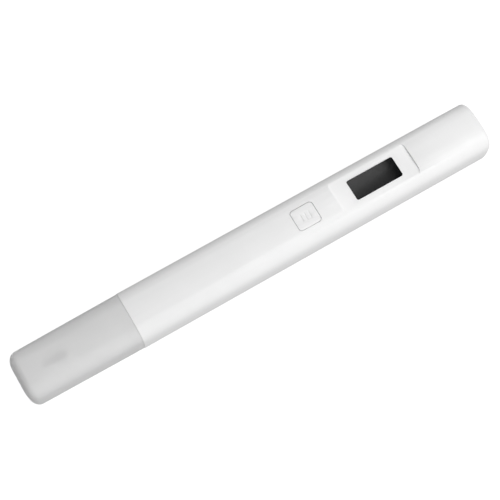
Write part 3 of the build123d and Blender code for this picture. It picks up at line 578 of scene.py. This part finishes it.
def sleeve(stations, insets, shrinks):
    """The outline carried along the pen: ring k stands at stations[k], its points moved inwards
    along their normals by insets[k], then drawn towards the axis by the factor shrinks[k]."""
    flat = OUTLINE[None] - OUTLINE_OUT[None] * insets[:, None, None]
    axis = np.array([0.0, SIZE / 2])
    flat = axis + (flat - axis) * shrinks[:, None, None]
    along = np.repeat(stations[:, None, None] - LENGTH / 2, flat.shape[1], axis=1)
    return np.concatenate([along, flat], axis=-1).reshape(-1, 3) * MM


# Cap

CAP_LENGTH = 34.6
CAP_SKIN_END = 34.71
CAP_MOUTH_INSET = 0.1
CAP_DRAFT = math.radians(0.5)
CAP_WALL = 1.25
CAP_LIP = 0.05
CAP_TIP_WALL = 1.5
CAP_TIP_DEPTH = 2.9
CAP_TIP_WIDTH = 3.7
CAP_DOME_RISE = 0.1
CAP_INNER_ROUND = 1.5
POLE_STEPS = 8
TIP_STEPS = 14
SIDE_STEPS_OUT = 24
SIDE_STEPS_IN = 20
LIP_STEPS = 5
INNER_ROUND_STEPS = 7


def rings(station, inset, shrink=1.0):
    """Rows of (station, inset, shrink), one for each ring of a sleeve."""
    return np.stack(np.broadcast_arrays(station, inset, shrink), axis=-1)


def cap_skin(material, inner_material):
    """Frosted cap as one closed skin: pole of the tip, a shallow dome, a quarter ellipse round the
    edge, the drafted side, a round lip at the mouth, and back along the inner wall to its own pole.
    It ends at CAP_SKIN_END, a little beyond the CAD cap, so the seam is a fine line."""
    slope = math.tan(CAP_DRAFT)
    inner = CAP_MOUTH_INSET + CAP_WALL
    tip_inset = CAP_MOUTH_INSET + CAP_LENGTH * slope
    end_inset = inner + (CAP_LENGTH - CAP_TIP_WALL) * slope
    lip_start = CAP_SKIN_END - CAP_LIP
    share = np.linspace(0, 1, POLE_STEPS, endpoint=False)
    tip = np.linspace(math.pi / 2, 0, TIP_STEPS)
    side = np.linspace(CAP_TIP_DEPTH, lip_start, SIDE_STEPS_OUT)[1:]
    lip = np.linspace(0, math.pi / 2, LIP_STEPS)
    lip_station = lip_start + CAP_LIP * np.sin(lip)
    lip_inset = CAP_LIP * (1 - np.cos(lip))
    wall = np.linspace(lip_start, CAP_TIP_WALL + CAP_INNER_ROUND, SIDE_STEPS_IN)[1:]
    bend = np.linspace(0, math.pi / 2, INNER_ROUND_STEPS)[1:]
    tip_station = CAP_TIP_DEPTH - (CAP_TIP_DEPTH - CAP_DOME_RISE) * np.sin(tip)
    bend_station = CAP_TIP_WALL + CAP_INNER_ROUND * (1 - np.sin(bend))
    outside = [
        rings(CAP_DOME_RISE * share**2, tip_inset + CAP_TIP_WIDTH, share),
        rings(tip_station, tip_inset + CAP_TIP_WIDTH * (1 - np.cos(tip))),
        rings(side, CAP_MOUTH_INSET + (CAP_SKIN_END - side) * slope),
        rings(lip_station, CAP_MOUTH_INSET + lip_inset)[1:],
    ]
    inside = [
        rings(lip_station, inner - lip_inset)[::-1],
        rings(wall, inner + (CAP_SKIN_END - wall) * slope),
        rings(bend_station, end_inset + CAP_INNER_ROUND * (1 - np.cos(bend))),
        rings(CAP_TIP_WALL, end_inset + CAP_INNER_ROUND, np.linspace(1, 0, POLE_STEPS)[1:]),
    ]
    points, faces = joined([sleeve(*np.concatenate(outside + inside).T)], len(OUTLINE))
    piece = put_mesh("cap_skin", points, faces, "cap", material, smooth_angle=60.0)
    piece.data.materials.append(inner_material)
    ring = np.arange(len(piece.data.polygons)) // len(OUTLINE)
    is_inside = ring >= sum(len(part) for part in outside)
    piece.data.polygons.foreach_set("material_index", is_inside.astype(np.int32))
    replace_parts(piece, "cap")


# Turned pieces

TURN_STEPS = 72
TURN = np.linspace(0, 2 * math.pi, TURN_STEPS, endpoint=False)


def turned(name, profile, centres, body, material):
    """A piece turned round X at each centre. The profile is a row of (station, radius) in
    millimetres that starts and ends on the axis, and a point of the surface is its station
    along X plus its radius times the cosine and sine of the turn in Y and Z."""
    station, radius = np.asarray(profile).T
    along = np.repeat(station[:, None], TURN_STEPS, axis=1)
    radius = radius[:, None]
    grid = np.stack([along, radius * np.cos(TURN), radius * np.sin(TURN)], axis=-1).reshape(-1, 3)
    points, faces = joined([grid + np.asarray(centre) for centre in centres], TURN_STEPS)
    return outward(put_mesh(name, points * MM, faces, body, material))


def arc_points(centre_station, centre_radius, size, start, end, steps=6):
    """Points of a circular arc in a turned profile, between two angles in degrees."""
    angle = np.radians(np.linspace(start, end, steps))
    return [(centre_station + size * math.cos(a), centre_radius + size * math.sin(a)) for a in angle]


CELL_TOP_R = 4.55
CELL_TOP_FLAT = 4.25
CELL_TOP_EDGE = 0.2
CELL_GROOVE_DEPTH = 0.45
CELL_GROOVE_WIDTH = 0.16
CELL_CURL_START = 0.28
CELL_CURL_R = 0.14
CELL_SHOULDER_START = 0.23
CELL_SHOULDER_R = 0.6
CELL_EDGE = 0.45
CELL_BASE_SHARE = (0.72, 0.7)
CELL_BASE_SINK = 0.05


def cell_profile(start, end, radius):
    """Button cell: flat negative cap with a round edge, a gasket groove, the crimped rim that
    curls out to the can's side, a back edge rounded by CELL_EDGE, and a base sunk a little."""
    top_edge = start + CELL_TOP_EDGE
    groove = start + CELL_GROOVE_DEPTH
    curl = start + CELL_CURL_START + CELL_CURL_R
    shoulder = start + CELL_SHOULDER_START + CELL_SHOULDER_R
    sunk = end - CELL_BASE_SINK
    step_out, step_in = (radius * share for share in CELL_BASE_SHARE)
    rows = [(start, 0.0), (start, CELL_TOP_FLAT)]
    rows += arc_points(top_edge, CELL_TOP_R - CELL_TOP_EDGE, CELL_TOP_EDGE, 180, 90)
    rows += [(groove, CELL_TOP_R), (groove, CELL_TOP_R + CELL_GROOVE_WIDTH)]
    rows += arc_points(curl, CELL_TOP_R + 2 * CELL_GROOVE_WIDTH, CELL_CURL_R, 270, 130, steps=7)
    rows += arc_points(shoulder, radius - CELL_SHOULDER_R, CELL_SHOULDER_R, 150, 90, steps=7)
    rows += arc_points(end - CELL_EDGE, radius - CELL_EDGE, CELL_EDGE, 90, 0)
    rows += [(end, step_out), (sunk, step_in), (sunk, 0.0)]
    return rows


def battery_cells(material):
    """Both turned cells, each in its CAD place."""
    for index in (1, 2):
        node = f"battery_cell_{index}"
        start, end = node_span(node, 0)
        low, high = node_span(node, 2)
        rows = cell_profile(start, end, (high - low) / 2)
        centre = (0, 0, (low + high) / 2)
        piece = turned(f"cell_skin_{index}", rows, [centre], "carrier", material)
        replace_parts(piece, node)


PIN_R = 0.5
PIN_EDGE = 0.1


def pin_skins(material):
    """Two drawn pins, each with a half-round nose and an eased rear edge."""
    start, end = node_span("probe_pins", 0)
    low, high = node_span("probe_pins", 2)
    nose = arc_points(start + PIN_R, 0.0, PIN_R, 180, 90, steps=9)
    rows = [(start, 0.0), *nose[1:], (end - PIN_EDGE, PIN_R), (end, PIN_R - PIN_EDGE), (end, 0.0)]
    centres = [(0, 0, low + PIN_R), (0, 0, high - PIN_R)]
    piece = turned("pin_skins", rows, centres, "meter", material)
    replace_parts(piece, "probe_pins")


# Board screws

SCREW_HEAD_R = 1.3
SCREW_HEAD_H = 0.9
SCREW_HEAD_SIDE = 0.3
SCREW_HEAD_EDGE = (0.06, 0.08)
SCREW_HEAD_STEPS = 14
SCREW_CROSS_HALF = 0.2
SCREW_CROSS_REACH = 0.75
SCREW_CROSS_DEPTH = 0.42
SCREW_SHANK_R = 0.7
SCREW_NECK_R = 0.6
SCREW_END_R = 0.3
SCREW_END_RISE = 0.02
SCREW_THREAD_PITCH = 0.6
SCREW_THREAD_DEPTH = 0.14
SCREW_THREAD_ENDS = (0.5, 0.1)
SCREW_THREAD_STEPS = 44


def level_rings(rows):
    """Round level rings from rows of (radius, height), as arrays of radius and height."""
    return np.asarray(rows).T[:, :, None] * np.ones(TURN_STEPS)


def screw_skins(material):
    """Pan-head screws. The shank's radius rises and falls along a helix to make the thread, the
    head is a quarter ellipse turned round Z, and it drops by the cross's depth inside two bars."""
    low, high = node_span("board_screws", 2)
    first, last = node_span("board_screws", 0)
    seat = high - SCREW_HEAD_H
    point_length, neck_length = SCREW_THREAD_ENDS
    height = np.linspace(low + point_length, seat - neck_length, SCREW_THREAD_STEPS)[:, None]
    phase = 2 * math.pi * height / SCREW_THREAD_PITCH - TURN
    wave = SCREW_THREAD_DEPTH * np.cos(phase) ** 2
    thread = (SCREW_SHANK_R - SCREW_THREAD_DEPTH + wave, np.broadcast_to(height, phase.shape))
    share = np.linspace(1, 0, SCREW_HEAD_STEPS)[1:, None]
    radius = SCREW_HEAD_R * share * np.ones(TURN_STEPS)
    across = np.abs(radius * np.cos(TURN))
    aside = np.abs(radius * np.sin(TURN))
    in_bars = np.minimum(across, aside) < SCREW_CROSS_HALF
    in_reach = np.maximum(across, aside) < SCREW_CROSS_REACH
    side_top = seat + SCREW_HEAD_SIDE
    dome = side_top + (SCREW_HEAD_H - SCREW_HEAD_SIDE) * np.sqrt(1 - share**2)
    head = (radius, dome - np.where(in_bars & in_reach, SCREW_CROSS_DEPTH, 0.0))
    edge_in, edge_up = SCREW_HEAD_EDGE
    end = level_rings([(0.0, low), (SCREW_END_R, low + SCREW_END_RISE)])
    collar = level_rings([
        (SCREW_NECK_R, seat),
        (SCREW_HEAD_R - edge_in, seat),
        (SCREW_HEAD_R, seat + edge_up),
        (SCREW_HEAD_R, side_top),
    ])
    radius, height = (np.concatenate(part) for part in zip(end, thread, collar, head))
    grid = np.stack([radius * np.cos(TURN), radius * np.sin(TURN), height], axis=-1).reshape(-1, 3)
    centres = (first + SCREW_HEAD_R, last - SCREW_HEAD_R)
    points, faces = joined([grid + np.array([centre, 0, 0]) for centre in centres], TURN_STEPS)
    piece = put_mesh("screw_skins", points * MM, faces, "meter", material)
    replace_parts(outward(piece), "board_screws")


# Spring and seal

SPRING_WIRE_R = 0.225
SPRING_TURNS = 4.5
SPRING_NARROW_R = 1.85
SPRING_STEPS = 320
WIRE_SIDES = 12


def coil_spring(material):
    """Conical spring of round wire. Its path turns SPRING_TURNS times while its radius falls
    evenly from the base to the tip and its station follows a smooth step, so both end coils lie
    nearly flat. The wire is a circle carried along it, in the frame of the path's own normal."""
    start, end = node_span("negative_spring", 0)
    low, high = node_span("negative_spring", 2)
    wide = (high - low) / 2 - SPRING_WIRE_R
    share = np.linspace(0, 1, SPRING_STEPS)
    lift = share * share * (3 - 2 * share)
    turn = 2 * math.pi * SPRING_TURNS * share
    radius = wide + (SPRING_NARROW_R - wide) * share
    station = start + SPRING_WIRE_R + (end - start - 2 * SPRING_WIRE_R) * lift
    centre_z = (low + high) / 2
    path = np.stack([station, radius * np.cos(turn), centre_z + radius * np.sin(turn)], axis=-1)
    ahead = np.gradient(path, axis=0)
    ahead /= np.linalg.norm(ahead, axis=1, keepdims=True)
    out = np.stack([np.zeros_like(turn), np.cos(turn), np.sin(turn)], axis=-1)
    out -= ahead * np.sum(out * ahead, axis=1, keepdims=True)
    out /= np.linalg.norm(out, axis=1, keepdims=True)
    side = np.cross(ahead, out)
    swing = np.linspace(0, 2 * math.pi, WIRE_SIDES, endpoint=False)[None, :, None]
    path, out, side = (np.concatenate([v[:1], v, v[-1:]]) for v in (path, out, side))
    size = np.concatenate([[0.0], np.full(SPRING_STEPS, SPRING_WIRE_R), [0.0]])
    ring = out[:, None] * np.cos(swing) + side[:, None] * np.sin(swing)
    grid = (path[:, None] + ring * size[:, None, None]).reshape(-1, 3)
    points, faces = joined([grid], WIRE_SIDES)
    piece = outward(put_mesh("spring_skin", points * MM, faces, "meter", material))
    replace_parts(piece, "negative_spring")


SEAL_SIDES = 16
SEAL_HALF_HEIGHT = 0.45


def seal_skin(material):
    """Ring that follows the pen's outline: a circle, flattened a little where it presses on the
    groove's floor, carried along the outline at the seal's own depth."""
    start, end = node_span("plug_seal", 0)
    low, high = node_span("plug_seal", 2)
    outer_inset = (SIZE - (high - low)) / 2
    swing = np.linspace(0, 2 * math.pi, SEAL_SIDES, endpoint=False)
    station = LENGTH / 2 + (start + end) / 2 + (end - start) / 2 * np.cos(swing)
    inset = outer_inset + SEAL_HALF_HEIGHT - SEAL_HALF_HEIGHT * np.sin(swing)
    points = sleeve(station, inset, np.ones(SEAL_SIDES))
    faces = grid_faces(SEAL_SIDES + 1, len(OUTLINE)) % len(points)
    piece = outward(put_mesh("seal_skin", points, faces, "carrier", material))
    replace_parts(piece, "plug_seal")


def build():
    """Every piece, with its finish."""
    white = moulded_plastic("satin_white_shell", SHELL_WHITE, roughness=0.50, grain=0.10)
    key_white = moulded_plastic("satin_white_key", SHELL_WHITE, roughness=0.50, grain=0.08)
    probe_white = moulded_plastic("matt_white_probe", PROBE_WHITE, roughness=0.45, grain=0.12)
    carrier_white = moulded_plastic("matt_white_carrier", CARRIER_WHITE, roughness=0.45, grain=0.12)
    grey = moulded_plastic("grey_inner_moulding", INNER_GREY, roughness=0.5, grain=0.15)
    epoxy = moulded_plastic("black_epoxy", EPOXY_BLACK, roughness=0.5, grain=0.2)
    ceramic = moulded_plastic("tan_ceramic", CERAMIC_TAN, roughness=0.55, grain=0.2)
    nickel = plated_metal("nickel_plate", NICKEL, roughness=0.28, stretch=(1.0, 6.0, 6.0))
    titanium = plated_metal("titanium_pin", TITANIUM, roughness=0.34, stretch=(1.0, 8.0, 8.0))
    steel = plated_metal("pressed_cell_steel", CELL_STEEL, roughness=0.22, stretch=(5.0, 1.0, 1.0))
    silicone = soft_rubber("grey_silicone", SILICONE_GREY, roughness=0.62)
    foam = soft_rubber("black_adhesive_foam", FOAM_BLACK, roughness=0.8)
    lens = polished_lens("smoked_lens")
    cap_skin(frosted_plastic("frosted_cap"), smooth_inner_wall("smooth_inner_wall"))
    finished_copy("main_shell", "shell_skin", "meter", white, edge=0.06)
    finished_copy("button", "button_skin", "button", key_white, edge=0.14)
    finished_copy("probe_head", "probe_skin", "meter", probe_white, edge=0.15)
    finished_copy("battery_carrier", "carrier_skin", "carrier", carrier_white, edge=0.12)
    finished_copy("window_lens", "lens_skin", "meter", lens, edge=0.05)
    battery_cells(steel)
    pin_skins(titanium)
    coil_spring(nickel)
    seal_skin(silicone)
    screw_skins(nickel)
    looks = {
        "thermistor": epoxy,
        "window_gasket": foam,
        "lcd_panel": display_glass("display_glass"),
        "zebra_strip_left": layered_elastomer("contact_elastomer"),
        "zebra_strip_right": layered_elastomer("contact_elastomer"),
        "display_frame": grey,
        "main_board": circuit_board("green_board"),
        "controller_chip": epoxy,
        "crystal": nickel,
        "chip_parts": ceramic,
        "tact_switch": epoxy,
        "switch_plunger": epoxy,
        "button_seal": silicone,
        "inner_frame": grey,
        "positive_strip": nickel,
        "spring_plate": nickel,
        "positive_contact": nickel,
    }
    for node, material in looks.items():
        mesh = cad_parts[node].data
        mesh.materials.clear()
        mesh.materials.append(material)


add_camera()
add_sky()
add_area_light("key", KEY_PLACE, KEY_SIZE, KEY_POWER)
add_area_light("fill", FILL_PLACE, FILL_SIZE, FILL_POWER)
add_surround(studio_paper("studio_paper"), glowing_sheet("glowing_backdrop", BACKDROP_GLOW))
add_reflected_cards(glowing_sheet("white_card", WHITE_CARD_GLOW), glowing_sheet("black_flag", 0.0))
build()

scene = bpy.context.scene
scene.view_settings.view_transform = "Standard"
scene.view_settings.look = "None"
